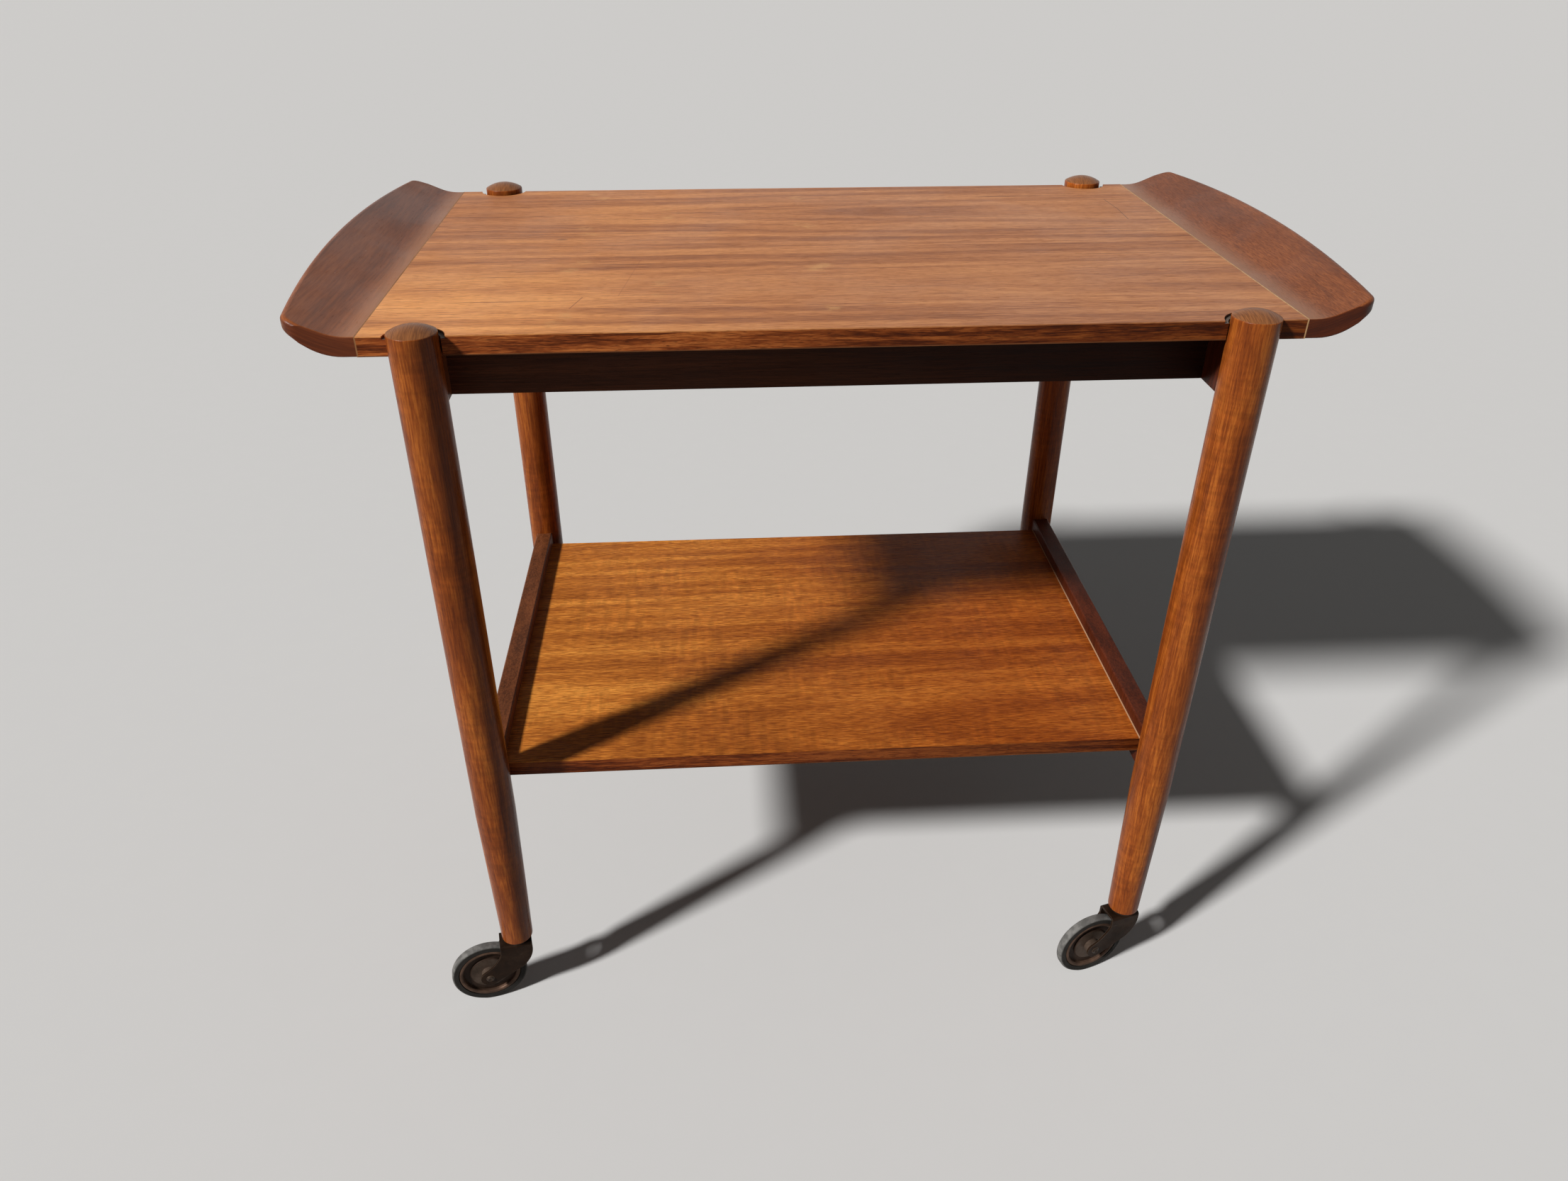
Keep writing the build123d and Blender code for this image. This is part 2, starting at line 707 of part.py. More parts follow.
    with BuildPart() as wheel_centre:
        with BuildSketch(axle_view):
            with Locations((0, (hub_diameter / 2 + axle_diameter / 2 + axle_run_gap) / 2)):
                Rectangle(2 * hub_half, hub_diameter / 2 - axle_diameter / 2 - axle_run_gap)
            with Locations((0, (hub_diameter / 2 + groove_in) / 2)):
                disc = Rectangle(disc_width, groove_in - hub_diameter / 2)
                fillet(disc.vertices().group_by(Axis.Y)[-1], rounding(disc_round, disc_width))
            with Locations((0, (groove_in - disc_round + groove_out + rim_round) / 2)):
                Rectangle(web_thickness, groove_width + disc_round + rim_round)
            with Locations((0, (groove_out + rim_radius) / 2)):
                ring = Rectangle(rim_width, rim_ring)
                fillet(ring.vertices(), rounding(rim_round, rim_ring))
            with Locations((0, rim_radius)):
                Rectangle(tyre_key_width, 2 * tyre_key_height)
        revolve(axis=axle_line)
    finish(wheel_centre, f"{leg_name}_wheel_centre")

    with BuildPart() as tyre:
        with BuildSketch(axle_view):
            with Locations((0, (rim_radius + tyre_gap + wheel_radius) / 2)):
                band = Rectangle(tyre_width, wheel_radius - rim_radius - tyre_gap)
                fillet(band.vertices().group_by(Axis.Y)[-1], rounding(tyre_shoulder, tyre_depth))
            with Locations((0, rim_radius)):
                Rectangle(
                    tyre_key_width + 2 * tyre_gap,
                    2 * (tyre_key_height + tyre_gap),
                    mode=Mode.SUBTRACT,
                )
        revolve(axis=axle_line)
    finish(tyre, f"{leg_name}_tyre")
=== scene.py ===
import json
import math

import bpy
from mathutils import Matrix, Vector


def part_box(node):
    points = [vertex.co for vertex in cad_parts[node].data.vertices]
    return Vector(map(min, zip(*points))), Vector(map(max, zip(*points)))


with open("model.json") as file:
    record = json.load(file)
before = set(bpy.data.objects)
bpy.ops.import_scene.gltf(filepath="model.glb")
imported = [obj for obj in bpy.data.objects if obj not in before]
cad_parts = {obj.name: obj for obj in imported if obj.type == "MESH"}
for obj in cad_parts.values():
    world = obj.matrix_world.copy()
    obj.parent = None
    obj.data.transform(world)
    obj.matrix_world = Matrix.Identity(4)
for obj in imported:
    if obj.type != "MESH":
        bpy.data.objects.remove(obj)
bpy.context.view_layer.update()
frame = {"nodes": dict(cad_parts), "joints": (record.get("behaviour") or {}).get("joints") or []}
nodes = frame["nodes"]
joints = {joint["name"]: joint for joint in frame["joints"]}
corners = ["front_left", "rear_left", "front_right", "rear_right"]
print("frame loaded,", len(nodes), "nodes")


# small helpers for node trees

def addNode(tree, kind, inputs=None, **settings):
    node = tree.nodes.new(kind)
    for name, value in settings.items():
        setattr(node, name, value)
    for key, value in (inputs or {}).items():
        if isinstance(value, bpy.types.NodeSocket):
            tree.links.new(value, node.inputs[key])
        else:
            node.inputs[key].default_value = value
    return node


def calc(tree, operation, first, second=0.0, clamp=False):
    node = addNode(tree, "ShaderNodeMath", {0: first, 1: second}, operation=operation, use_clamp=clamp)
    return node.outputs[0]


def calcVector(tree, operation, first, second=(0.0, 0.0, 0.0)):
    node = addNode(tree, "ShaderNodeVectorMath", {0: first, 1: second}, operation=operation)
    return node.outputs["Value" if operation in ("LENGTH", "DOT_PRODUCT") else "Vector"]


def scaleVector(tree, vector, factor):
    node = addNode(tree, "ShaderNodeVectorMath", {0: vector, "Scale": factor}, operation="SCALE")
    return node.outputs["Vector"]


def joinVector(tree, x, y, z):
    return addNode(tree, "ShaderNodeCombineXYZ", {0: x, 1: y, 2: z}).outputs[0]


def splitVector(tree, vector):
    return addNode(tree, "ShaderNodeSeparateXYZ", {0: vector}).outputs


def remap(tree, value, low, high, newLow=0.0, newHigh=1.0):
    inputs = {"Value": value, "From Min": low, "From Max": high, "To Min": newLow, "To Max": newHigh}
    return addNode(tree, "ShaderNodeMapRange", inputs, interpolation_type="SMOOTHSTEP").outputs["Result"]


def mixColour(tree, factor, first, second, blend="MIX"):
    inputs = {0: factor}
    for key, colour in ((6, first), (7, second)):
        inputs[key] = colour if isinstance(colour, bpy.types.NodeSocket) else (*colour, 1)
    return addNode(tree, "ShaderNodeMix", inputs, data_type="RGBA", blend_type=blend).outputs[2]


def mixVector(tree, factor, first, second):
    return addNode(tree, "ShaderNodeMix", {0: factor, 4: first, 5: second}, data_type="VECTOR").outputs[1]


def shadeColour(tree, colour, shade):
    return mixColour(tree, 1.0, colour, joinVector(tree, shade, shade, shade), "MULTIPLY")


def noise(tree, vector, scale, detail=2.0, roughness=0.5, output="Fac"):
    inputs = {"Vector": vector, "Scale": scale, "Detail": detail, "Roughness": roughness}
    return addNode(tree, "ShaderNodeTexNoise", inputs).outputs[output]


def colourRamp(tree, value, stops):
    node = addNode(tree, "ShaderNodeValToRGB", {"Fac": value})
    elements = node.color_ramp.elements
    elements[0].position, elements[0].color = stops[0][0], (*stops[0][1], 1)
    elements[1].position, elements[1].color = stops[-1][0], (*stops[-1][1], 1)
    for position, colour in stops[1:-1]:
        elements.new(position).color = (*colour, 1)
    return node.outputs["Color"]


def newGroup(name, inputs, outputs):
    tree = bpy.data.node_groups.new(name, "ShaderNodeTree")
    for label, value in inputs:
        kind = "NodeSocketVector" if isinstance(value, tuple) else "NodeSocketFloat"
        tree.interface.new_socket(label, in_out="INPUT", socket_type=kind).default_value = value
    for label in outputs:
        tree.interface.new_socket(label, in_out="OUTPUT", socket_type="NodeSocketFloat")
    return tree, addNode(tree, "NodeGroupInput").outputs, addNode(tree, "NodeGroupOutput")


def placeGroup(tree, group, inputs):
    return addNode(tree, "ShaderNodeGroup", inputs, node_tree=group).outputs


def newMaterial(name, sockets):
    material = bpy.data.materials.new(name)
    material.use_nodes = True
    tree = material.node_tree
    tree.nodes.clear()
    shader = addNode(tree, "ShaderNodeBsdfPrincipled", sockets)
    addNode(tree, "ShaderNodeOutputMaterial", {"Surface": shader.outputs[0]})
    return material, tree, shader


def partPlace(tree):
    return addNode(tree, "ShaderNodeTexCoord").outputs["Object"]


def faceNormal(tree):
    return splitVector(tree, addNode(tree, "ShaderNodeNewGeometry").outputs["True Normal"])


# node groups that several finishes share

figureShape = {
    "driftStretch": (0.35, 1, 1), "driftAcross": (0, 1, 1), "bandStretch": 22.0, "bandFlatness": 0.25,
    "fibreFlatness": 0.6, "threadStretch": 45.0, "threadFlatness": 0.3, "fewDashes": 0.72, "manyDashes": 0.45,
}


def buildWoodFigure(shape):
    # fibres run along X of the vector, growth layers stack along Y of the layers
    inputs = [
        ("Vector", (0.0, 0.0, 0.0)), ("Layers", (0.0, 0.0, 0.0)), ("Seed", 0.0), ("Wander", 0.004),
        ("Wander Scale", 6.0), ("Band Width", 0.012), ("Fibre Width", 0.0012), ("Fibre Length", 0.03),
        ("Dash Width", 0.0006), ("Dash Length", 0.008), ("Dash Amount", 0.35), ("Thread Width", 0.004),
    ]
    tree, given, result = newGroup("woodFigure", inputs, ["Bands", "Fibres", "Dashes", "Threads"])
    seed = given["Seed"]
    shift = joinVector(tree, seed, seed, seed)
    place = calcVector(tree, "ADD", given["Vector"], shift)
    drawn = calcVector(tree, "MULTIPLY", place, shape["driftStretch"])
    drift = noise(tree, drawn, given["Wander Scale"], 2.0, 0.5, "Color")
    drift = calcVector(tree, "SUBTRACT", drift, (0.5, 0.5, 0.5))
    drift = scaleVector(tree, drift, calc(tree, "MULTIPLY", given["Wander"], 2.0))
    drift = calcVector(tree, "MULTIPLY", drift, shape["driftAcross"])
    place = calcVector(tree, "ADD", place, drift)
    layers = calcVector(tree, "ADD", calcVector(tree, "ADD", given["Layers"], shift), drift)

    def drawnOut(place, width, length, flatness, detail, roughness):
        # noise in patches of the given width and length
        along = calc(tree, "DIVIDE", 1.0, length)
        across = calc(tree, "DIVIDE", 1.0, width)
        fineness = joinVector(tree, along, across, calc(tree, "MULTIPLY", across, flatness))
        return noise(tree, calcVector(tree, "MULTIPLY", place, fineness), 1.0, detail, roughness)

    bandWidth = given["Band Width"]
    bandLength = calc(tree, "MULTIPLY", bandWidth, shape["bandStretch"])
    threadWidth = given["Thread Width"]
    threadLength = calc(tree, "MULTIPLY", threadWidth, shape["threadStretch"])
    bands = drawnOut(layers, bandWidth, bandLength, shape["bandFlatness"], 3.0, 0.5)
    fibres = drawnOut(place, given["Fibre Width"], given["Fibre Length"], shape["fibreFlatness"], 2.0, 0.6)
    dashes = drawnOut(place, given["Dash Width"], given["Dash Length"], 1.0, 1.0, 0.5)
    threads = drawnOut(place, threadWidth, threadLength, shape["threadFlatness"], 1.0, 0.5)
    threshold = remap(tree, given["Dash Amount"], 0.0, 1.0, shape["fewDashes"], shape["manyDashes"])
    found = {
        "Bands": remap(tree, bands, 0.28, 0.72), "Fibres": remap(tree, fibres, 0.25, 0.75),
        "Dashes": remap(tree, calc(tree, "SUBTRACT", dashes, threshold), 0.0, 0.1),
        "Threads": remap(tree, threads, 0.64, 0.74),
    }
    for name, value in found.items():
        tree.links.new(value, result.inputs[name])
    return tree


handlingShape = {
    "dustFineness": 90.0, "scratchTurn": (0.3, 0.2, 0.7), "scratchStretch": (6.0, 420.0, 420.0),
    "patchFineness": 2.5, "dentFineness": (260, 160, 260),
}


def buildHandling(shape):
    # rub marks, fine dust, small random scratches and sparse dents from use
    tree, given, result = newGroup("handling", [("Vector", (0.0, 0.0, 0.0)), ("Scale", 12.0)],
                                   ["Smudge", "Dust", "Scratches", "Dents"])
    vector = given["Vector"]
    smudge = noise(tree, vector, given["Scale"], 4.0, 0.6)
    dust = noise(tree, vector, calc(tree, "MULTIPLY", given["Scale"], shape["dustFineness"]), 2.0, 0.6)
    turned = addNode(tree, "ShaderNodeMapping", {
        "Vector": vector, "Rotation": shape["scratchTurn"], "Scale": shape["scratchStretch"]}).outputs[0]
    lines = remap(tree, noise(tree, turned, 1.0, 1.0, 0.5), 0.70, 0.76)
    patchScale = calc(tree, "MULTIPLY", given["Scale"], shape["patchFineness"])
    patchy = remap(tree, noise(tree, vector, patchScale, 1.0), 0.5, 0.62)
    specks = noise(tree, calcVector(tree, "MULTIPLY", vector, shape["dentFineness"]), 1.0, 2.0, 0.6)
    found = {
        "Smudge": remap(tree, smudge, 0.3, 0.7), "Dust": remap(tree, dust, 0.55, 0.75),
        "Scratches": calc(tree, "MULTIPLY", lines, patchy), "Dents": remap(tree, specks, 0.74, 0.8),
    }
    for name, value in found.items():
        tree.links.new(value, result.inputs[name])
    return tree


def buildEdgeWear():
    # finds edges by how far a rounded normal leaves the true one, then breaks the line up
    tree, given, result = newGroup("edgeWear", [
        ("Vector", (0.0, 0.0, 0.0)), ("Radius", 0.001), ("Patch Scale", 200.0)], ["Mask"])
    soft = addNode(tree, "ShaderNodeBevel", {"Radius": given["Radius"]}, samples=6).outputs[0]
    true = addNode(tree, "ShaderNodeNewGeometry").outputs["Normal"]
    bend = calc(tree, "SUBTRACT", 1.0, calcVector(tree, "DOT_PRODUCT", soft, true))
    patches = remap(tree, noise(tree, given["Vector"], given["Patch Scale"], 3.0, 0.6), 0.3, 0.6, 0.25, 1.0)
    mask = calc(tree, "MULTIPLY", remap(tree, bend, 0.02, 0.16), patches, clamp=True)
    tree.links.new(mask, result.inputs["Mask"])
    return tree


def buildSoftSpot():
    tree, given, result = newGroup("softSpot", [
        ("Vector", (0.0, 0.0, 0.0)), ("Centre", (0.0, 0.0, 0.0)), ("Radius", (0.01, 0.01, 0.01))], ["Mask"])
    away = calcVector(tree, "SUBTRACT", given["Vector"], given["Centre"])
    away = calcVector(tree, "DIVIDE", away, given["Radius"])
    tree.links.new(remap(tree, calcVector(tree, "LENGTH", away), 1.0, 0.2), result.inputs["Mask"])
    return tree


def buildScratchLine():
    tree, given, result = newGroup("scratchLine", [
        ("Vector", (0.0, 0.0, 0.0)), ("Start", (0.0, 0.0, 0.0)), ("End", (0.1, 0.0, 0.0)),
        ("Width", 0.0008)], ["Mask"])
    run = calcVector(tree, "SUBTRACT", given["End"], given["Start"])
    reach = calcVector(tree, "SUBTRACT", given["Vector"], given["Start"])
    forward = calcVector(tree, "DOT_PRODUCT", reach, run)
    share = calc(tree, "DIVIDE", forward, calcVector(tree, "DOT_PRODUCT", run, run), clamp=True)
    away = calcVector(tree, "LENGTH", calcVector(tree, "SUBTRACT", reach, scaleVector(tree, run, share)))
    near = remap(tree, calc(tree, "DIVIDE", away, given["Width"]), 1.0, 0.2)
    tree.links.new(near, result.inputs["Mask"])
    return tree


woodFigure = buildWoodFigure(figureShape)
handling = buildHandling(handlingShape)
edgeWear = buildEdgeWear()
softSpot = buildSoftSpot()
scratchLine = buildScratchLine()
print("shared node groups built")


# wood finishes

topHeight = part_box("top_veneer")[1].z
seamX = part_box("right_handle")[0].x


def grainPlace(tree, look):
    # turns the part's own axes so that the grain runs along X
    turn = [math.radians(angle) for angle in look["turn"]]
    return addNode(tree, "ShaderNodeMapping", {"Vector": partPlace(tree), "Rotation": turn}).outputs[0]


def archPlace(tree, vector, look):
    # layers cut nearly flat: pointed arches along an axis, straight lines further from it
    x, y, z = splitVector(tree, vector)
    side = calc(tree, "MULTIPLY", calc(tree, "GREATER_THAN", y, 0.0), look["halfShift"])
    if look["bookMatched"]:
        y = calc(tree, "ABSOLUTE", y)
    beside = calc(tree, "SUBTRACT", y, look["archAxis"])
    depth = calc(tree, "ADD", calc(tree, "MULTIPLY", x, look["archSlope"]), look["archDepth"])
    layer = calcVector(tree, "LENGTH", joinVector(tree, beside, depth, 0.0))
    return joinVector(tree, x, layer, side)


def placeFigure(tree, vector, look, layers=None):
    return placeGroup(tree, woodFigure, {
        "Vector": vector, "Layers": layers or vector, "Seed": look["seed"],
        "Wander": look["wander"], "Wander Scale": look["wanderScale"],
        "Band Width": look["bandWidth"], "Fibre Width": look["fibre"][0], "Fibre Length": look["fibre"][1],
        "Dash Width": look["dash"][0], "Dash Length": look["dash"][1], "Dash Amount": look["dashAmount"],
        "Thread Width": look["threadWidth"]})


def woodColour(tree, figure, look):
    # tone 0.5 is the middle colour, bands and fibres push it to the dark or pale end
    tone = 0.5
    for layer in ("Bands", "Fibres"):
        push = calc(tree, "SUBTRACT", figure[layer], 0.5)
        push = calc(tree, "MULTIPLY", push, look[layer.lower() + "Share"])
        tone = calc(tree, "ADD", push, tone)
    colour = colourRamp(tree, tone, [(0.0, look["dark"]), (0.5, look["mid"]), (1.0, look["pale"])])
    for layer in ("Threads", "Dashes"):
        depth = calc(tree, "MULTIPLY", figure[layer], look[layer.lower() + "Depth"])
        colour = mixColour(tree, depth, colour, look["pore"])
    return colour


def sideTint(tree, colour, along, look):
    # shifts the colour from one end to the other
    tint = mixColour(tree, remap(tree, along, *look["tintEnds"]), look["lowTint"], look["highTint"])
    return mixColour(tree, 1.0, colour, tint, "MULTIPLY")


grainRelief = {"dashRoughness": 0.12, "fibreHeight": 0.3, "scratchDepth": 0.6}


def woodSurface(tree, shader, vector, figure, look):
    marks = placeGroup(tree, handling, {"Vector": vector, "Scale": look["smudgeScale"]})
    low, high = look["roughness"]
    rough = remap(tree, marks["Smudge"], 0.0, 1.0, low, high)
    rough = calc(tree, "ADD", rough, calc(tree, "MULTIPLY", figure["Dashes"], grainRelief["dashRoughness"]))
    tree.links.new(rough, shader.inputs["Roughness"])
    height = calc(tree, "MULTIPLY", figure["Fibres"], grainRelief["fibreHeight"])
    height = calc(tree, "SUBTRACT", height, figure["Dashes"])
    scratches = calc(tree, "MULTIPLY", marks["Scratches"], grainRelief["scratchDepth"])
    height = calc(tree, "SUBTRACT", height, scratches)
    bump = addNode(tree, "ShaderNodeBump", {
        "Height": height, "Strength": look["bumpStrength"], "Distance": look["bumpDepth"]})
    tree.links.new(bump.outputs[0], shader.inputs["Normal"])
    return marks


topLook = {
    "turn": (0, 0, 0), "seed": 2.37, "wander": 0.003, "wanderScale": 7.0,
    "bookMatched": True, "halfShift": 0.07, "archAxis": 0.110, "archDepth": 0.030, "archSlope": -0.05,
    "bandWidth": 0.012, "fibre": (0.001, 0.018), "dash": (0.0005, 0.009), "dashAmount": 0.5,
    "threadWidth": 0.0028,
    "bandsShare": 0.75, "fibresShare": 0.58, "threadsDepth": 0.6, "dashesDepth": 0.55,
    "pore": (0.2, 0.058, 0.018), "dark": (0.32, 0.105, 0.035),
    "mid": (0.545, 0.2, 0.066), "pale": (0.75, 0.31, 0.108),
    "lowTint": (1.04, 1.04, 1.0), "highTint": (0.9, 0.93, 1.05), "tintEnds": (-0.2, 0.2),
    "goldCentre": (-0.34, -0.21), "goldReach": (0.3, 0.2), "gold": (1.4, 1.5, 1.45),
    "flame": (0.72, 0.37, 0.135), "flameDepth": 0.5, "flames": [
        (-0.190, 0.043, 0.012), (-0.196, 0.064, 0.011), (-0.187, 0.171, 0.013), (-0.196, 0.190, 0.010),
        (-0.126, 0.099, 0.010), (-0.127, 0.128, 0.008), (0.001, 0.059, 0.010), (-0.006, 0.067, 0.012),
        (-0.003, 0.166, 0.011)],
    "licks": (110, 330, 1), "knot": (-0.2123, 0.0285), "knotSize": (0.007, 0.005), "knotDepth": 0.6,
    "knotColour": (0.2, 0.07, 0.03),
    "redScratches": [
        ((-0.1815, -0.1315), (-0.1885, -0.1570), 0.7), ((-0.1430, -0.0334), (-0.1558, -0.1304), 0.3)],
    "darkScratches": [
        ((0.2893, 0.1460), (0.2907, 0.1085), 0.7), ((0.2907, 0.1085), (0.2885, 0.0705), 0.7)],
    "redScratch": (0.33, 0.09, 0.035), "darkScratch": (0.13, 0.055, 0.03), "scratchWidth": 0.0007,
    "roughness": (0.4, 0.5), "smudgeScale": 9.0, "bumpStrength": 0.3, "bumpDepth": 0.0002,
    "sockets": {"Specular IOR Level": 0.22},
}


def makeTopVeneer(look):
    material, tree, shader = newMaterial("topVeneer", look["sockets"])
    vector = grainPlace(tree, look)
    x, y, z = splitVector(tree, vector)
    figure = placeFigure(tree, vector, look, archPlace(tree, vector, look))
    colour = sideTint(tree, woodColour(tree, figure, look), x, look)
    gold = placeGroup(tree, softSpot, {
        "Vector": vector, "Centre": (*look["goldCentre"], topHeight),
        "Radius": (*look["goldReach"], 1.0)})["Mask"]
    colour = mixColour(tree, gold, colour, look["gold"], "MULTIPLY")
    licks = noise(tree, calcVector(tree, "MULTIPLY", vector, look["licks"]), 1.0, 3.0, 0.6)
    licks = remap(tree, licks, 0.42, 0.6)
    folded = joinVector(tree, x, calc(tree, "ABSOLUTE", y), z)
    for alongX, fromMiddle, size in look["flames"]:
        spot = placeGroup(tree, softSpot, {
            "Vector": folded, "Centre": (alongX, fromMiddle, topHeight),
            "Radius": (size, size, size)})["Mask"]
        mask = calc(tree, "MULTIPLY", calc(tree, "MULTIPLY", licks, spot), look["flameDepth"])
        colour = mixColour(tree, mask, colour, look["flame"])
    knot = placeGroup(tree, softSpot, {
        "Vector": vector, "Centre": (*look["knot"], topHeight), "Radius": (*look["knotSize"], 0.01)})["Mask"]
    colour = mixColour(tree, calc(tree, "MULTIPLY", knot, look["knotDepth"]), colour, look["knotColour"])
    for kind, paint in (("redScratches", "redScratch"), ("darkScratches", "darkScratch")):
        for start, end, depth in look[kind]:
            line = placeGroup(tree, scratchLine, {
                "Vector": vector, "Start": (*start, topHeight), "End": (*end, topHeight),
                "Width": look["scratchWidth"]})["Mask"]
            colour = mixColour(tree, calc(tree, "MULTIPLY", line, depth), colour, look[paint])
    tree.links.new(colour, shader.inputs["Base Color"])
    woodSurface(tree, shader, vector, figure, look)
    return material


shelfLook = {
    "turn": (0, 0, 0), "seed": 5.81, "wander": 0.003, "wanderScale": 7.0,
    "bookMatched": False, "halfShift": 0.0, "archAxis": -0.160, "archDepth": 0.060, "archSlope": -0.06,
    "bandWidth": 0.016, "fibre": (0.0011, 0.015), "dash": (0.0005, 0.009), "dashAmount": 0.7,
    "threadWidth": 0.003,
    "bandsShare": 0.6, "fibresShare": 0.65, "threadsDepth": 0.5, "dashesDepth": 0.62,
    "pore": (0.16, 0.031, 0.0045), "dark": (0.25, 0.054, 0.007),
    "mid": (0.53, 0.142, 0.018), "pale": (0.82, 0.275, 0.041),
    "lowTint": (1.25, 1.5, 1.75), "highTint": (0.79, 0.68, 0.63), "tintEnds": (-0.28, 0.2),
    "mottleScale": (170.0, 30.0, 1.0), "mottleDepth": 0.12, "mottlePatch": 14.0,
    "endLine": (0.62, 0.36, 0.2), "endLineWidth": 0.0014,
    "roughness": (0.4, 0.52), "smudgeScale": 9.0, "bumpStrength": 0.3, "bumpDepth": 0.0002,
    "sockets": {"Specular IOR Level": 0.1},
}


def crossMottle(tree, colour, vector, look):
    # faint bars across the grain, in patches
    bars = noise(tree, calcVector(tree, "MULTIPLY", vector, look["mottleScale"]), 1.0, 2.0, 0.5)
    patch = remap(tree, noise(tree, vector, look["mottlePatch"], 1.0), 0.42, 0.6, 0.15, 1.0)
    swing = calc(tree, "MULTIPLY", remap(tree, bars, 0.3, 0.7, -1.0, 1.0), look["mottleDepth"])
    return shadeColour(tree, colour, calc(tree, "ADD", calc(tree, "MULTIPLY", swing, patch), 1.0))


def makeShelfVeneer(look):
    material, tree, shader = newMaterial("shelfVeneer", look["sockets"])
    vector = grainPlace(tree, look)
    x = splitVector(tree, vector)[0]
    figure = placeFigure(tree, vector, look, archPlace(tree, vector, look))
    colour = sideTint(tree, woodColour(tree, figure, look), x, look)
    colour = crossMottle(tree, colour, vector, look)
    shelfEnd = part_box("shelf_veneer")[1].x
    endLine = remap(tree, x, shelfEnd - look["endLineWidth"], shelfEnd - look["endLineWidth"] * 0.7)
    colour = mixColour(tree, endLine, colour, look["endLine"])
    tree.links.new(colour, shader.inputs["Base Color"])
    woodSurface(tree, shader, vector, figure, look)
    return material


lippingLook = {
    "turn": (90, 0, 0), "seed": 1.13, "wander": 0.005, "wanderScale": 20.0,
    "bandWidth": 0.005, "fibre": (0.0009, 0.014), "dash": (0.00045, 0.0065), "dashAmount": 0.5,
    "threadWidth": 0.0018,
    "bandsShare": 1.0, "fibresShare": 0.8, "threadsDepth": 0.7, "dashesDepth": 0.65,
    "pore": (0.045, 0.0075, 0.0014), "dark": (0.09, 0.016, 0.0028),
    "mid": (0.285, 0.061, 0.0108), "pale": (0.5, 0.138, 0.027),
    "lowTint": (1.15, 1.25, 1.55), "highTint": (0.43, 0.4, 0.38), "tintEnds": (-0.25, 0.3),
    "dusty": (0.13, 0.1, 0.08),
    "roughness": (0.36, 0.48), "smudgeScale": 14.0, "bumpStrength": 0.35, "bumpDepth": 0.0002,
    "sockets": {"Specular IOR Level": 0.12},
}
shelfLippingLook = dict(
    lippingLook, seed=2.6, lowTint=(0.78, 0.74, 0.82), highTint=(0.4, 0.37, 0.37), tintEnds=(-0.2, 0.3))


def makeLippingWood(name, look):
    material, tree, shader = newMaterial(name, look["sockets"])
    vector = grainPlace(tree, look)
    figure = placeFigure(tree, vector, look)
    colour = sideTint(tree, woodColour(tree, figure, look), splitVector(tree, vector)[0], look)
    floorFaces = remap(tree, faceNormal(tree)[2], 0.8, 0.95)  # floors of the round recesses
    colour = mixColour(tree, floorFaces, colour, look["dusty"])
    tree.links.new(colour, shader.inputs["Base Color"])
    woodSurface(tree, shader, vector, figure, look)
    return material


leftHandleLook = {
    "ringCentre": (0.300, 0.770), "seed": 3.3, "wander": 0.006, "wanderScale": 9.0,
    "bandWidth": 0.008, "fibre": (0.0011, 0.035), "dash": (0.0006, 0.009), "dashAmount": 0.35,
    "threadWidth": 0.0025,
    "bandsShare": 0.45, "fibresShare": 0.5, "threadsDepth": 0.35, "dashesDepth": 0.35,
    "pore": (0.1, 0.024, 0.006), "dark": (0.145, 0.037, 0.0095),
    "mid": (0.25, 0.067, 0.0178), "pale": (0.35, 0.105, 0.03),
    "lowTint": (1.26, 1.27, 1.23), "highTint": (0.8, 0.74, 0.7), "tintEnds": (-0.18, 0.12),
    "endShade": (0.47, 0.38, 0.39), "noseShade": (0.55, 0.58, 0.65),
    # seamReflection is a painted reflection: a paler band on the top beside the seam
    "seamReflection": (0.45, 0.2, 0.09), "seamReach": 0.02, "seamDepth": 0.5,
    "dent": (0.5, 0.3, 0.2), "dentDepth": 0.6,
    "roughness": (0.3, 0.42), "smudgeScale": 11.0, "bumpStrength": 0.3, "bumpDepth": 0.0002,
    "sockets": {"Specular IOR Level": 0.21},
}
rightHandleLook = dict(
    leftHandleLook, seed=6.1, wander=0.01, wanderScale=11.0, fibre=(0.00045, 0.012), dash=(0.0004, 0.006),
    dashAmount=0.5, dashesDepth=0.45, bandsShare=0.4, fibresShare=0.55,
    pore=(0.075, 0.018, 0.0042), dark=(0.1, 0.025, 0.006),
    mid=(0.195, 0.052, 0.013), pale=(0.34, 0.105, 0.03),
    lowTint=(0.96, 0.92, 0.88), highTint=(0.96, 0.92, 0.88),
    endShade=(0.4, 0.27, 0.19), seamReflection=(0.36, 0.17, 0.092), seamDepth=0.75)


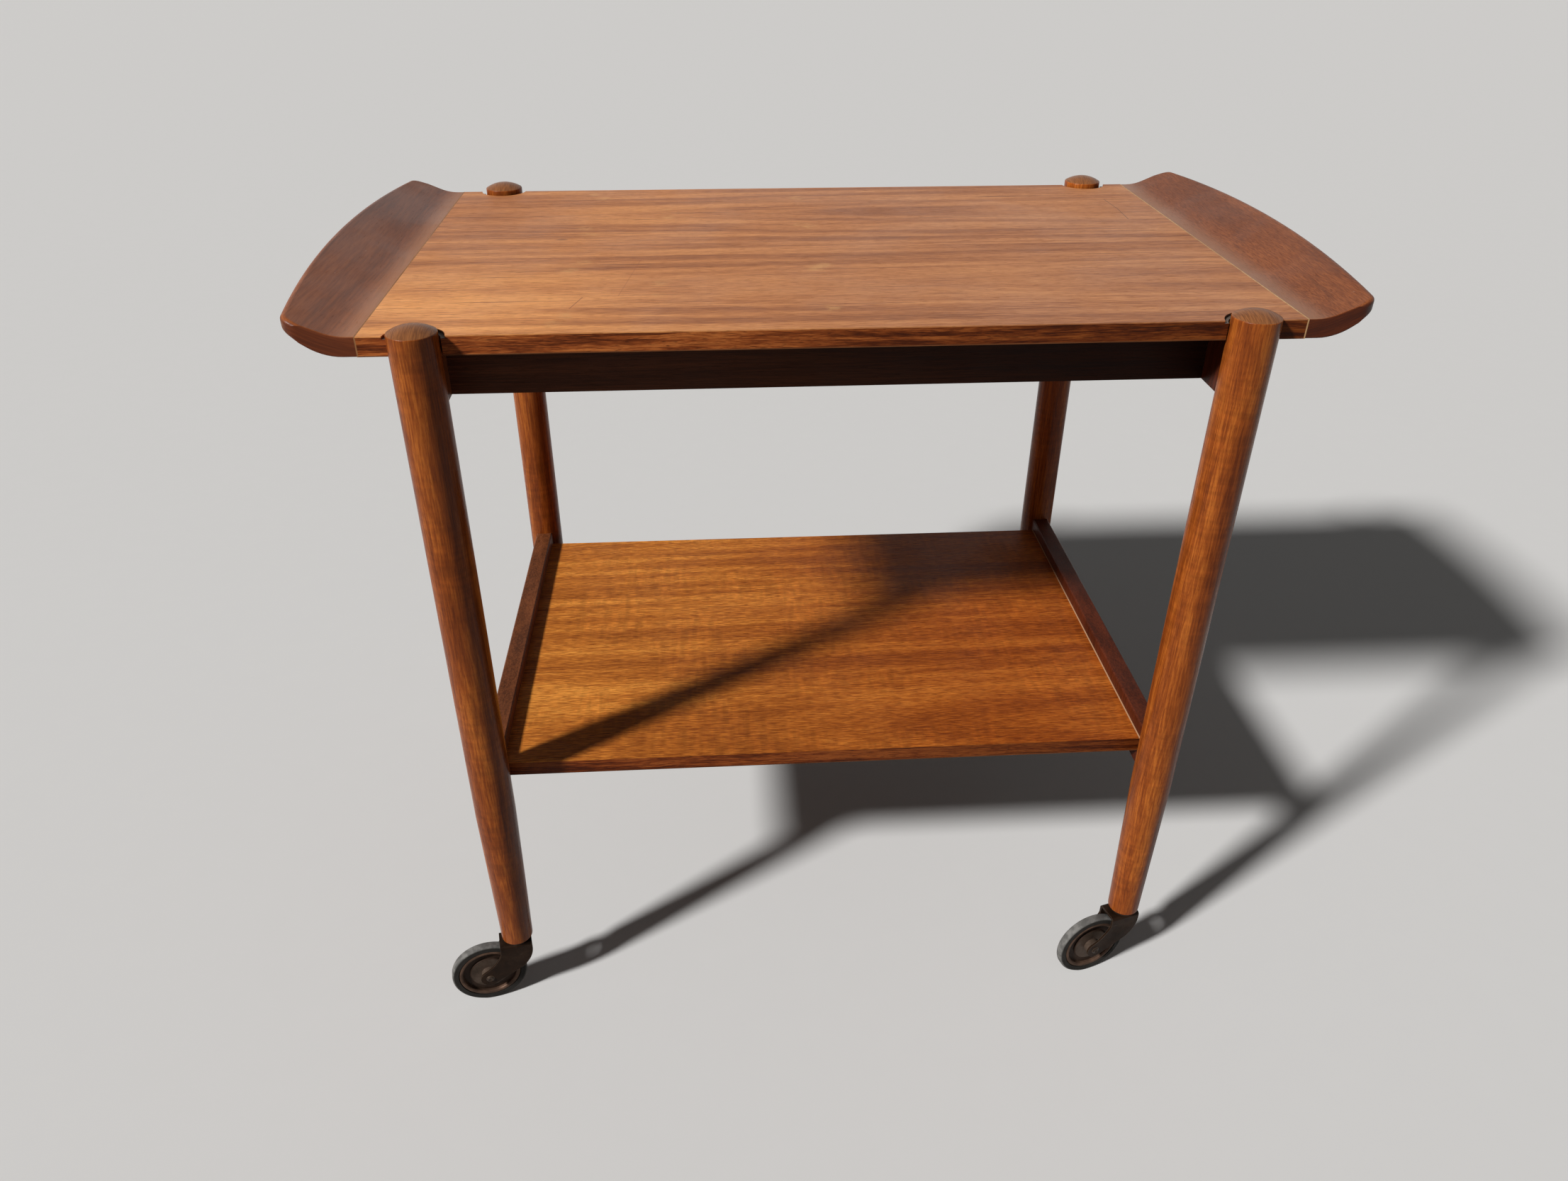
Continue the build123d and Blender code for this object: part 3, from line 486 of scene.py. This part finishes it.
def makeHandleWood(name, side, look):
    material, tree, shader = newMaterial(name, look["sockets"])
    place = partPlace(tree)
    x, y, z = splitVector(tree, place)
    centreX, centreZ = look["ringCentre"]
    fromX = calc(tree, "SUBTRACT", x, side * centreX)
    fromZ = calc(tree, "SUBTRACT", z, centreZ)
    ring = calcVector(tree, "LENGTH", joinVector(tree, fromX, fromZ, 0.0))
    facing = faceNormal(tree)
    endFaces = remap(tree, calc(tree, "ABSOLUTE", facing[1]), 0.55, 0.85)
    noseFaces = remap(tree, calc(tree, "MULTIPLY", facing[0], side), 0.35, 0.8)
    away = joinVector(tree, y, ring, fromX)
    sawn = joinVector(tree, fromX, ring, y)  # the ends show the layers as long lines
    vector = mixVector(tree, endFaces, away, sawn)
    figure = placeFigure(tree, vector, look)
    colour = sideTint(tree, woodColour(tree, figure, look), y, look)
    # painted reflection: near the seam the top is mixed towards a paler colour, with the end faces left out
    fromSeam = calc(tree, "SUBTRACT", calc(tree, "MULTIPLY", x, side), seamX)
    seamReflectionMask = remap(tree, fromSeam, look["seamReach"], 0.0, 0.0, look["seamDepth"])
    seamReflectionMask = calc(tree, "MULTIPLY", seamReflectionMask, calc(tree, "SUBTRACT", 1.0, endFaces))
    colour = mixColour(tree, seamReflectionMask, colour, look["seamReflection"])
    colour = mixColour(tree, endFaces, colour, look["endShade"], "MULTIPLY")
    colour = mixColour(tree, noseFaces, colour, look["noseShade"], "MULTIPLY")
    marks = woodSurface(tree, shader, place, figure, look)
    colour = mixColour(tree, calc(tree, "MULTIPLY", marks["Dents"], look["dentDepth"]), colour, look["dent"])
    tree.links.new(colour, shader.inputs["Base Color"])
    return material


legLook = {
    "turn": (0, 90, 0), "seed": 7.9, "wander": 0.004, "wanderScale": 9.0,
    "bandWidth": 0.006, "fibre": (0.0009, 0.024), "dash": (0.0004, 0.0045), "dashAmount": 0.5,
    "threadWidth": 0.002,
    "bandsShare": 0.6, "fibresShare": 0.6, "threadsDepth": 0.35, "dashesDepth": 0.4,
    "pore": (0.09, 0.016, 0.0025), "dark": (0.14, 0.028, 0.0048),
    "mid": (0.285, 0.067, 0.0102), "pale": (0.49, 0.143, 0.0225),
    "lowTint": (0.94, 0.92, 0.95), "highTint": (1.06, 1.04, 1.0), "tintEnds": (-0.1, 0.1),
    "mottleScale": (190.0, 40.0, 40.0), "mottleDepth": 0.13, "mottlePatch": 11.0,
    "dome": (0.33, 0.123, 0.039), "domeDark": (0.17, 0.058, 0.019), "domeStreaks": (1500.0, 90.0, 90.0),
    "roughness": (0.24, 0.36), "smudgeScale": 14.0, "bumpStrength": 0.2, "bumpDepth": 0.0001,
    "sockets": {"Specular IOR Level": 0.16},
}


def makeLegWood(look):
    material, tree, shader = newMaterial("legWood", look["sockets"])
    vector = grainPlace(tree, look)
    figure = placeFigure(tree, vector, look)
    place = partPlace(tree)
    x, y, z = splitVector(tree, place)
    colour = sideTint(tree, woodColour(tree, figure, look), x, look)
    colour = crossMottle(tree, colour, vector, look)
    streaks = noise(tree, calcVector(tree, "MULTIPLY", place, look["domeStreaks"]), 1.0, 2.0, 0.6)
    dome = mixColour(tree, remap(tree, streaks, 0.3, 0.7), look["domeDark"], look["dome"])
    onDome = remap(tree, faceNormal(tree)[2], 0.55, 0.85)
    colour = mixColour(tree, onDome, colour, dome)
    tree.links.new(colour, shader.inputs["Base Color"])
    woodSurface(tree, shader, vector, figure, look)
    return material


# painted shade: the front and rear rails are coloured darker than their wood, as in the shade under the top,
# and darker still towards the right end
paintedShadeRailLook = {
    "turn": (90, 0, 0), "seed": 4.4, "wander": 0.004, "wanderScale": 6.0,
    "bandWidth": 0.012, "fibre": (0.0014, 0.034), "dash": (0.0008, 0.01), "dashAmount": 0.4,
    "threadWidth": 0.003,
    "bandsShare": 0.6, "fibresShare": 0.7, "threadsDepth": 0.5, "dashesDepth": 0.5,
    "pore": (0.025, 0.008, 0.004), "dark": (0.038, 0.013, 0.007),
    "mid": (0.075, 0.026, 0.013), "pale": (0.12, 0.041, 0.019),
    "lowTint": (1.42, 1.4, 1.4), "highTint": (0.36, 0.31, 0.31), "tintEnds": (-0.25, 0.25),
    "roughness": (0.42, 0.56), "smudgeScale": 10.0, "bumpStrength": 0.3, "bumpDepth": 0.0002,
    "sockets": {"Specular IOR Level": 0.1},
}
sideRailLook = dict(
    paintedShadeRailLook, turn=(90, 0, -90), seed=9.2, pore=(0.05, 0.014, 0.005), dark=(0.075, 0.022, 0.008),
    mid=(0.145, 0.043, 0.015), pale=(0.22, 0.068, 0.024),
    lowTint=(1.05, 1.07, 1.09), highTint=(0.55, 0.36, 0.34))
plainTint = {"lowTint": (1.0, 1.0, 1.0), "highTint": (1.0, 1.0, 1.0)}
coreLook = dict(
    paintedShadeRailLook, seed=6.6, pore=(0.08, 0.06, 0.045), dark=(0.1, 0.078, 0.06), mid=(0.14, 0.11, 0.088),
    pale=(0.18, 0.145, 0.12), **plainTint)
backingLook = dict(
    paintedShadeRailLook, turn=(0, 0, 0), seed=8.1, bandWidth=0.025,
    pore=(0.07, 0.022, 0.008), dark=(0.1, 0.034, 0.012),
    mid=(0.16, 0.055, 0.02), pale=(0.22, 0.08, 0.03), **plainTint)
rightInlayLook = dict(
    sideRailLook, seed=0.7, bandWidth=0.02, pore=(0.36, 0.2, 0.09), dark=(0.45, 0.26, 0.12),
    mid=(0.6, 0.36, 0.17), pale=(0.72, 0.47, 0.24), **plainTint)
leftInlayLook = dict(
    rightInlayLook, seed=1.9, pore=(0.2, 0.088, 0.033), dark=(0.24, 0.105, 0.04), mid=(0.33, 0.15, 0.06),
    pale=(0.42, 0.2, 0.085))


def makePlainWood(name, look):
    material, tree, shader = newMaterial(name, look["sockets"])
    vector = grainPlace(tree, look)
    figure = placeFigure(tree, vector, look)
    colour = sideTint(tree, woodColour(tree, figure, look), splitVector(tree, partPlace(tree))[0], look)
    tree.links.new(colour, shader.inputs["Base Color"])
    woodSurface(tree, shader, vector, figure, look)
    return material


topVeneer = makeTopVeneer(topLook)
shelfVeneer = makeShelfVeneer(shelfLook)
lippingWood = makeLippingWood("lippingWood", lippingLook)
shelfLippingWood = makeLippingWood("shelfLippingWood", shelfLippingLook)
leftHandleWood = makeHandleWood("leftHandleWood", -1, leftHandleLook)
rightHandleWood = makeHandleWood("rightHandleWood", 1, rightHandleLook)
legWood = makeLegWood(legLook)
# front and rear rails' wood, with painted shade in its colour
paintedShadeRailWood = makePlainWood("paintedShadeRailWood", paintedShadeRailLook)
sideRailWood = makePlainWood("sideRailWood", sideRailLook)
coreWood = makePlainWood("coreWood", coreLook)
backingWood = makePlainWood("backingWood", backingLook)
leftInlayWood = makePlainWood("leftInlayWood", leftInlayLook)
rightInlayWood = makePlainWood("rightInlayWood", rightInlayLook)
print("wood finishes made")


# caster finishes

bronzeLook = {
    "dark": (0.011, 0.0055, 0.0028), "mid": (0.022, 0.0107, 0.0056), "pale": (0.038, 0.02, 0.011),
    "worn": (0.13, 0.1, 0.078), "wearRadius": 0.0006, "patchScale": 160.0,
    "cloudScale": 70.0, "scratchDepth": 0.4,
    "sockets": {"Metallic": 0.2, "Specular IOR Level": 0.08},
    "roughness": (0.38, 0.54), "smudgeScale": 40.0, "bumpStrength": 0.25, "bumpDepth": 0.0002,
}


def bronzeColour(tree, vector, look):
    cloud = noise(tree, vector, look["cloudScale"], 5.0, 0.65)
    return colourRamp(tree, cloud, [(0.3, look["dark"]), (0.5, look["mid"]), (0.72, look["pale"])])


def metalSurface(tree, shader, vector, look):
    marks = placeGroup(tree, handling, {"Vector": vector, "Scale": look["smudgeScale"]})
    rough = remap(tree, marks["Smudge"], 0.0, 1.0, *look["roughness"])
    tree.links.new(rough, shader.inputs["Roughness"])
    height = calc(tree, "SUBTRACT", calc(tree, "MULTIPLY", marks["Dust"], 0.5), marks["Scratches"])
    bump = addNode(tree, "ShaderNodeBump", {
        "Height": height, "Strength": look["bumpStrength"], "Distance": look["bumpDepth"]})
    tree.links.new(bump.outputs[0], shader.inputs["Normal"])
    return marks


def makeForkBronze(look):
    material, tree, shader = newMaterial("forkBronze", look["sockets"])
    vector = partPlace(tree)
    worn = placeGroup(tree, edgeWear, {
        "Vector": vector, "Radius": look["wearRadius"], "Patch Scale": look["patchScale"]})["Mask"]
    colour = mixColour(tree, worn, bronzeColour(tree, vector, look), look["worn"])
    marks = metalSurface(tree, shader, vector, look)
    scratched = calc(tree, "MULTIPLY", marks["Scratches"], look["scratchDepth"])
    colour = mixColour(tree, scratched, colour, look["worn"])
    tree.links.new(colour, shader.inputs["Base Color"])
    return material


def wheelRadius(tree, corner):
    # distance from the wheel's axle
    joint = joints[corner + "_wheel_spin"]
    reach = calcVector(tree, "SUBTRACT", partPlace(tree), tuple(joint["pos_m"]))
    return calcVector(tree, "LENGTH", calcVector(tree, "CROSS_PRODUCT", reach, tuple(joint["axis"])))


wheelLook = dict(
    bronzeLook, dark=(0.05, 0.034, 0.024), mid=(0.092, 0.063, 0.046), pale=(0.14, 0.099, 0.075),
    ring=(0.155, 0.09, 0.06), ringDark=(0.085, 0.05, 0.034), ringFrom=0.0234, ringPatches=90.0,
    # groove is painted shade for the groove between the disc and the rim ring
    groove=(0.45, 0.38, 0.35), grooveFrom=0.0166, fade=0.0008)


def makeWheelBronze(corner, look):
    material, tree, shader = newMaterial(corner + "WheelBronze", look["sockets"])
    vector = partPlace(tree)
    radius = wheelRadius(tree, corner)
    rubbed = remap(tree, radius, look["ringFrom"], look["ringFrom"] + look["fade"])
    # painted shade: the groove between the disc and the rim ring is darkened, as if shaded by its walls
    grooveShadeMask = remap(tree, radius, look["grooveFrom"], look["grooveFrom"] + look["fade"])
    patches = remap(tree, noise(tree, vector, look["ringPatches"], 3.0, 0.6), 0.35, 0.65)
    ring = mixColour(tree, patches, look["ringDark"], look["ring"])
    colour = mixColour(tree, grooveShadeMask, bronzeColour(tree, vector, look), look["groove"], "MULTIPLY")
    colour = mixColour(tree, rubbed, colour, ring)
    marks = metalSurface(tree, shader, vector, look)
    scratched = calc(tree, "MULTIPLY", marks["Scratches"], look["scratchDepth"])
    colour = mixColour(tree, scratched, colour, look["worn"])
    tree.links.new(colour, shader.inputs["Base Color"])
    return material


tyreLook = {
    "side": (0.027, 0.024, 0.021), "tread": (0.22, 0.21, 0.195), "treadDark": (0.12, 0.115, 0.107),
    "dust": (0.3, 0.275, 0.24), "dustDepth": 0.2, "treadEdge": 0.0013, "treadPatches": 140.0,
    "roughness": (0.6, 0.8), "smudgeScale": 60.0,
    "bumpStrength": 0.5, "bumpDepth": 0.0003, "sockets": {"Specular IOR Level": 0.14},
}


def makeTyreRubber(corner, look):
    material, tree, shader = newMaterial(corner + "TyreRubber", look["sockets"])
    vector = partPlace(tree)
    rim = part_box(corner + "_tyre")[1].z / 2
    edge = look["treadEdge"]
    outside = remap(tree, wheelRadius(tree, corner), rim - edge * 1.6, rim - edge * 0.5)
    patches = remap(tree, noise(tree, vector, look["treadPatches"], 4.0, 0.6), 0.35, 0.65)
    tread = mixColour(tree, patches, look["treadDark"], look["tread"])
    colour = mixColour(tree, outside, look["side"], tread)
    marks = metalSurface(tree, shader, vector, look)
    colour = mixColour(tree, calc(tree, "MULTIPLY", marks["Dust"], look["dustDepth"]), colour, look["dust"])
    tree.links.new(colour, shader.inputs["Base Color"])
    return material


steelLook = dict(
    bronzeLook, dark=(0.006, 0.005, 0.0045), mid=(0.012, 0.01, 0.009), pale=(0.028, 0.025, 0.022),
    wornShare=0.7)
brassLook = dict(
    steelLook, dark=(0.016, 0.0095, 0.006), mid=(0.03, 0.018, 0.0115), pale=(0.06, 0.038, 0.024),
    worn=(0.16, 0.11, 0.075), sockets={"Metallic": 0.5, "Specular IOR Level": 0.3}, roughness=(0.3, 0.44))
screwLook = dict(
    steelLook, dark=(0.25, 0.24, 0.22), mid=(0.4, 0.39, 0.37), pale=(0.55, 0.54, 0.52),
    sockets={"Metallic": 1.0})


def makePlainMetal(name, look):
    material, tree, shader = newMaterial(name, look["sockets"])
    vector = partPlace(tree)
    worn = placeGroup(tree, edgeWear, {
        "Vector": vector, "Radius": look["wearRadius"], "Patch Scale": look["patchScale"]})["Mask"]
    metalSurface(tree, shader, vector, look)
    worn = calc(tree, "MULTIPLY", worn, look["wornShare"])
    colour = mixColour(tree, worn, bronzeColour(tree, vector, look), look["worn"])
    tree.links.new(colour, shader.inputs["Base Color"])
    return material


forkBronze = makeForkBronze(bronzeLook)
casterSteel = makePlainMetal("casterSteel", steelLook)
axleBrass = makePlainMetal("axleBrass", brassLook)
screwSteel = makePlainMetal("screwSteel", screwLook)
print("caster finishes made")


# every node takes the finish of what it is

slotFinish = {
    "top_veneer": topVeneer, "shelf_veneer": shelfVeneer, "backing_veneer": backingWood,
    "board_core": coreWood, "lipping": lippingWood, "leg_wood": legWood, "rail_wood": sideRailWood,
    "dowel_wood": backingWood, "screw_steel": screwSteel, "caster_steel": casterSteel,
    "fork_bronze": forkBronze, "axle_brass": axleBrass,
}
nodeFinish = {
    "left_handle": leftHandleWood, "right_handle": rightHandleWood, "left_inlay": leftInlayWood,
    "right_inlay": rightInlayWood, "upper_front_rail": paintedShadeRailWood, "upper_rear_rail": paintedShadeRailWood,
    "shelf_front_lipping": shelfLippingWood, "shelf_rear_lipping": shelfLippingWood,
}
for corner in corners:
    nodeFinish[corner + "_wheel_centre"] = makeWheelBronze(corner, wheelLook)
    nodeFinish[corner + "_tyre"] = makeTyreRubber(corner, tyreLook)
for name, node in nodes.items():
    slot = node.material_slots[0]
    slot.material = nodeFinish.get(name) or slotFinish[slot.material.name]
print("finishes assigned")


# floor, light and camera

stageLook = {
    "floorColour": (0.8, 0.785, 0.765), "floorBounce": (0.2, 0.19, 0.18), "floorReach": 60.0,
    "floorGrain": 30.0, "floorLow": 0.985,
    "backdrop": (1.0, 0.985, 0.97), "fill": 0.065, "background": 0.62,
    "sunStrength": 3.62, "sunSoftness": 6.0, "sunFrom": (-0.667, -0.439, 0.602),
}


def seenRay(tree):
    # camera, mirror and glass rays
    path = addNode(tree, "ShaderNodeLightPath").outputs
    seen = calc(tree, "MAXIMUM", path["Is Camera Ray"], path["Is Glossy Ray"])
    return calc(tree, "MAXIMUM", seen, path["Is Transmission Ray"])


def makeFloor(look):
    material, tree, shader = newMaterial("paleFloor", {"Roughness": 0.85, "Specular IOR Level": 0.2})
    grain = noise(tree, partPlace(tree), look["floorGrain"], 3.0)
    low = tuple(value * look["floorLow"] for value in look["floorColour"])
    tree.links.new(mixColour(tree, grain, low, look["floorColour"]), shader.inputs["Base Color"])
    dim = addNode(tree, "ShaderNodeBsdfDiffuse", {"Color": (*look["floorBounce"], 1)})
    both = addNode(tree, "ShaderNodeMixShader", {0: seenRay(tree), 1: dim.outputs[0], 2: shader.outputs[0]})
    tree.links.new(both.outputs[0], tree.nodes["Material Output"].inputs["Surface"])
    reach = look["floorReach"]
    mesh = bpy.data.meshes.new("floor")
    sheet = [(-reach, -reach, 0), (reach, -reach, 0), (reach, reach, 0), (-reach, reach, 0)]
    mesh.from_pydata(sheet, [], [(0, 1, 2, 3)])
    mesh.materials.append(material)
    floor = bpy.data.objects.new("floor", mesh)
    bpy.context.scene.collection.objects.link(floor)


def makeLight(look):
    world = bpy.data.worlds.new("studio")
    bpy.context.scene.world = world
    world.use_nodes = True
    tree = world.node_tree
    tree.nodes.clear()
    fill = addNode(tree, "ShaderNodeBackground", {"Color": (1, 1, 1, 1), "Strength": look["fill"]})
    pale = addNode(tree, "ShaderNodeBackground", {
        "Color": (*look["backdrop"], 1), "Strength": look["background"]})
    both = addNode(tree, "ShaderNodeMixShader", {0: seenRay(tree), 1: fill.outputs[0], 2: pale.outputs[0]})
    addNode(tree, "ShaderNodeOutputWorld", {"Surface": both.outputs[0]})
    sun = bpy.data.lights.new("softKey", "SUN")
    sun.energy = look["sunStrength"]
    sun.angle = math.radians(look["sunSoftness"])
    lamp = bpy.data.objects.new("softKey", sun)
    lamp.rotation_mode = "QUATERNION"
    lamp.rotation_quaternion = Vector(look["sunFrom"]).to_track_quat("Z", "Y")
    bpy.context.scene.collection.objects.link(lamp)


cameraPlace = {
    "location": (-0.0874, -0.9500, 0.9030), "yaw": -3.722, "tilt": 58.066, "roll": 0.171,
    "lens": 26.02, "sensor": 36.0, "farthest": 200.0,
}


def placeCamera(place):
    camera = bpy.data.cameras.new("photoCamera")
    camera.sensor_fit = "HORIZONTAL"
    camera.sensor_width = place["sensor"]
    camera.lens = place["lens"]
    camera.clip_end = place["farthest"]
    viewer = bpy.data.objects.new("photoCamera", camera)
    turn = Matrix.Rotation(math.radians(place["yaw"]), 4, "Z")
    turn = turn @ Matrix.Rotation(math.radians(place["tilt"]), 4, "X")
    turn = turn @ Matrix.Rotation(math.radians(place["roll"]), 4, "Z")
    viewer.matrix_world = Matrix.Translation(place["location"]) @ turn
    bpy.context.scene.collection.objects.link(viewer)
    bpy.context.scene.camera = viewer


makeFloor(stageLook)
makeLight(stageLook)
placeCamera(cameraPlace)
bpy.context.scene.view_settings.view_transform = "Standard"
print("stage set")
